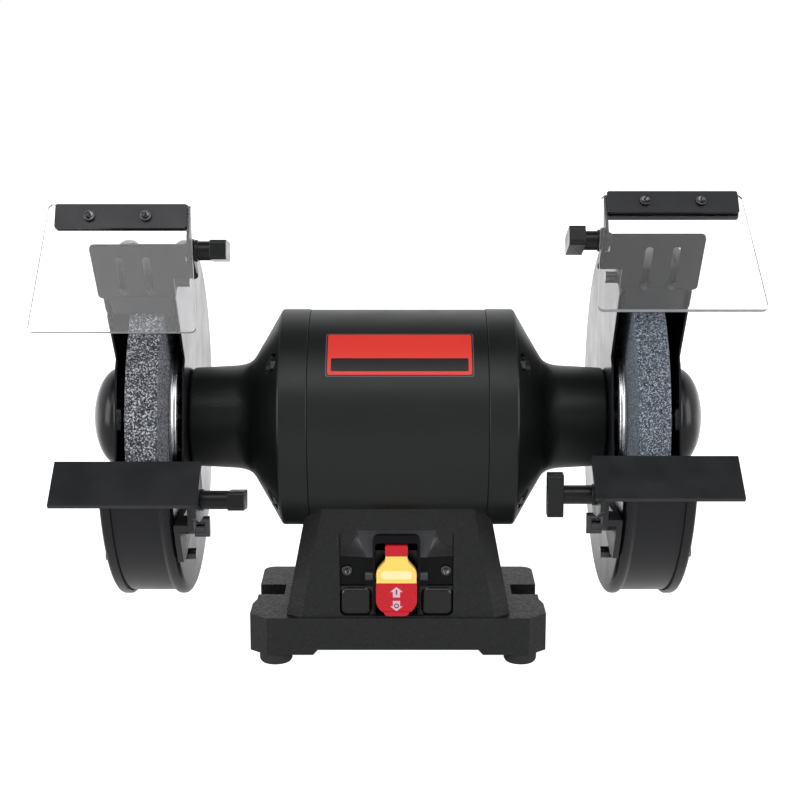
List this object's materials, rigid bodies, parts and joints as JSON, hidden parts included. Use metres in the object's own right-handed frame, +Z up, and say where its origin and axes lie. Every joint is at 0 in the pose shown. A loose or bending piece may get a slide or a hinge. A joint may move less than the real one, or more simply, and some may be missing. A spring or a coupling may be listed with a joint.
{
  "type": "bench grinder",
  "caption": "Two-wheel bench grinder: motor on a pedestal base, guarded wheels, tilting tool rests, spark arrestors and hinged clear eye shields.",
  "frame": {"origin": "on the bench plane, straight under the middle of the spindle", "axes": "+Z up; front, where the user stands, is -Y; +X to the user's right along the spindle"},
  "size_m": [0.4307, 0.2589, 0.3162],
  "materials": {
    "casting_paint": "textured powder coat",
    "shell_paint": "satin black enamel",
    "guard_paint": "gloss black enamel",
    "rest_paint": "semi-gloss black",
    "zinc_steel": "zinc plated",
    "screw_black": "black oxide",
    "rubber": "matt",
    "panel_plastic": "fine textured",
    "paddle_red": "moulded gloss",
    "key_yellow": "moulded gloss",
    "knob_plastic": "fine textured",
    "clear_plastic": "clear, polished",
    "label_red": "printed film",
    "can_aluminium": "drawn",
    "terminal_cream": "moulded",
    "core_steel": "laminated",
    "copper": "enamelled winding wire",
    "bearing_steel": "ground",
    "ground_steel": "turned",
    "blotter_paper": "paper",
    "stone_coarse": "coarse vitrified abrasive",
    "stone_fine": "fine vitrified abrasive"
  },
  "bodies": {
    "base": {"base_casting": "casting_paint", "base_cover": "zinc_steel", "rubber_feet": "rubber", "base_screws": "zinc_steel", "switch_panel": "panel_plastic", "panel_screws": "screw_black", "switch_housing": "panel_plastic", "run_capacitor": "can_aluminium", "capacitor_clamp": "zinc_steel", "terminal_block": "terminal_cream", "cord_gland": "panel_plastic", "motor_bolts": "zinc_steel", "motor_shell": "shell_paint", "left_end_bell": "shell_paint", "right_end_bell": "shell_paint", "tie_bolts": "zinc_steel", "stator_core": "core_steel", "stator_windings": "copper", "nameplate": "label_red", "bearing_outer_races": "bearing_steel", "wave_washer": "bearing_steel", "left_guard": "guard_paint", "right_guard": "guard_paint", "left_guard_cover": "guard_paint", "right_guard_cover": "guard_paint", "cover_screws": "screw_black", "guard_screws": "screw_black", "arrestor_screws": "screw_black"},
    "rotor": {"shaft": "ground_steel", "rotor_core": "core_steel", "bearing_inner_races": "bearing_steel", "bearing_balls": "bearing_steel", "left_wheel": "stone_coarse", "right_wheel": "stone_fine", "inner_flanges": "ground_steel", "outer_flanges": "ground_steel", "blotters": "blotter_paper", "spindle_nuts": "ground_steel"},
    "switch_paddle": {"switch_paddle": "paddle_red"},
    "safety_key": {"safety_key": "key_yellow"},
    "left_rest_bracket": {"left_rest_bracket": "rest_paint"},
    "left_wing_screw": {"left_wing_screw": "screw_black"},
    "left_tool_rest": {"left_tool_rest": "rest_paint"},
    "left_rest_knob": {"left_rest_knob": "knob_plastic"},
    "left_spark_arrestor": {"left_spark_arrestor": "rest_paint"},
    "left_eye_shield": {"left_eye_shield": "clear_plastic", "left_shield_bracket": "rest_paint", "left_shield_bar": "rest_paint", "left_shield_screws": "screw_black"},
    "left_shield_knob": {"left_shield_knob": "knob_plastic"},
    "right_rest_bracket": {"right_rest_bracket": "rest_paint"},
    "right_wing_screw": {"right_wing_screw": "screw_black"},
    "right_tool_rest": {"right_tool_rest": "rest_paint"},
    "right_rest_knob": {"right_rest_knob": "knob_plastic"},
    "right_spark_arrestor": {"right_spark_arrestor": "rest_paint"},
    "right_eye_shield": {"right_eye_shield": "clear_plastic", "right_shield_bracket": "rest_paint", "right_shield_bar": "rest_paint", "right_shield_screws": "screw_black"},
    "right_shield_knob": {"right_shield_knob": "knob_plastic"}
  },
  "joints": [
    {"name": "spindle_spin", "type": "hinge", "parent": "base", "child": "rotor", "pos_m": [0, 0, 0.157], "axis": [1, 0, 0], "continuous": true},
    {"name": "switch_rock", "type": "hinge", "parent": "base", "child": "switch_paddle", "pos_m": [-0.001, -0.05, 0.0615], "axis": [1, 0, 0], "range_deg": [-12, 0]},
    {"name": "key_pull", "type": "slide", "parent": "switch_paddle", "child": "safety_key", "axis": [0, -1, 0], "range_m": [0, 0.02]},
    {"name": "left_rest_slide", "type": "slide", "parent": "base", "child": "left_rest_bracket", "axis": [0, -0.9998, -0.0175], "range_m": [0, 0.012]},
    {"name": "left_wing_turn", "type": "hinge", "parent": "base", "child": "left_wing_screw", "pos_m": [-0.134, -0.07908, 0.10361], "axis": [1, 0, 0], "continuous": true},
    {"name": "left_rest_tilt", "type": "hinge", "parent": "left_rest_bracket", "child": "left_tool_rest", "pos_m": [-0.123, -0.10451, 0.12817], "axis": [1, 0, 0], "range_deg": [-5, 30]},
    {"name": "left_rest_knob_turn", "type": "hinge", "parent": "left_rest_bracket", "child": "left_rest_knob", "pos_m": [-0.112, -0.10451, 0.12817], "axis": [1, 0, 0], "continuous": true},
    {"name": "left_arrestor_slide", "type": "slide", "parent": "base", "child": "left_spark_arrestor", "axis": [0, 0.6088, -0.7934], "range_m": [0, 0.003]},
    {"name": "left_shield_swing", "type": "hinge", "parent": "left_spark_arrestor", "child": "left_eye_shield", "pos_m": [-0.1247, -0.10043, 0.28148], "axis": [1, 0, 0], "range_deg": [-60, 10]},
    {"name": "left_shield_knob_turn", "type": "hinge", "parent": "left_spark_arrestor", "child": "left_shield_knob", "pos_m": [-0.112, -0.10043, 0.28148], "axis": [1, 0, 0], "continuous": true},
    {"name": "right_rest_slide", "type": "slide", "parent": "base", "child": "right_rest_bracket", "axis": [0, -0.9998, 0.0175], "range_m": [0, 0.012]},
    {"name": "right_wing_turn", "type": "hinge", "parent": "base", "child": "right_wing_screw", "pos_m": [0.134, -0.08089, 0.1064], "axis": [1, 0, 0], "continuous": true},
    {"name": "right_rest_tilt", "type": "hinge", "parent": "right_rest_bracket", "child": "right_tool_rest", "pos_m": [0.123, -0.10545, 0.13184], "axis": [1, 0, 0], "range_deg": [-5, 30]},
    {"name": "right_rest_knob_turn", "type": "hinge", "parent": "right_rest_bracket", "child": "right_rest_knob", "pos_m": [0.112, -0.10545, 0.13184], "axis": [1, 0, 0], "continuous": true},
    {"name": "right_arrestor_slide", "type": "slide", "parent": "base", "child": "right_spark_arrestor", "axis": [0, 0.5807, -0.8141], "range_m": [0, 0.003]},
    {"name": "right_shield_swing", "type": "hinge", "parent": "right_spark_arrestor", "child": "right_eye_shield", "pos_m": [0.1247, -0.09777, 0.28736], "axis": [1, 0, 0], "range_deg": [-60, 10]},
    {"name": "right_shield_knob_turn", "type": "hinge", "parent": "right_spark_arrestor", "child": "right_shield_knob", "pos_m": [0.112, -0.09777, 0.28736], "axis": [1, 0, 0], "continuous": true}
  ]
}
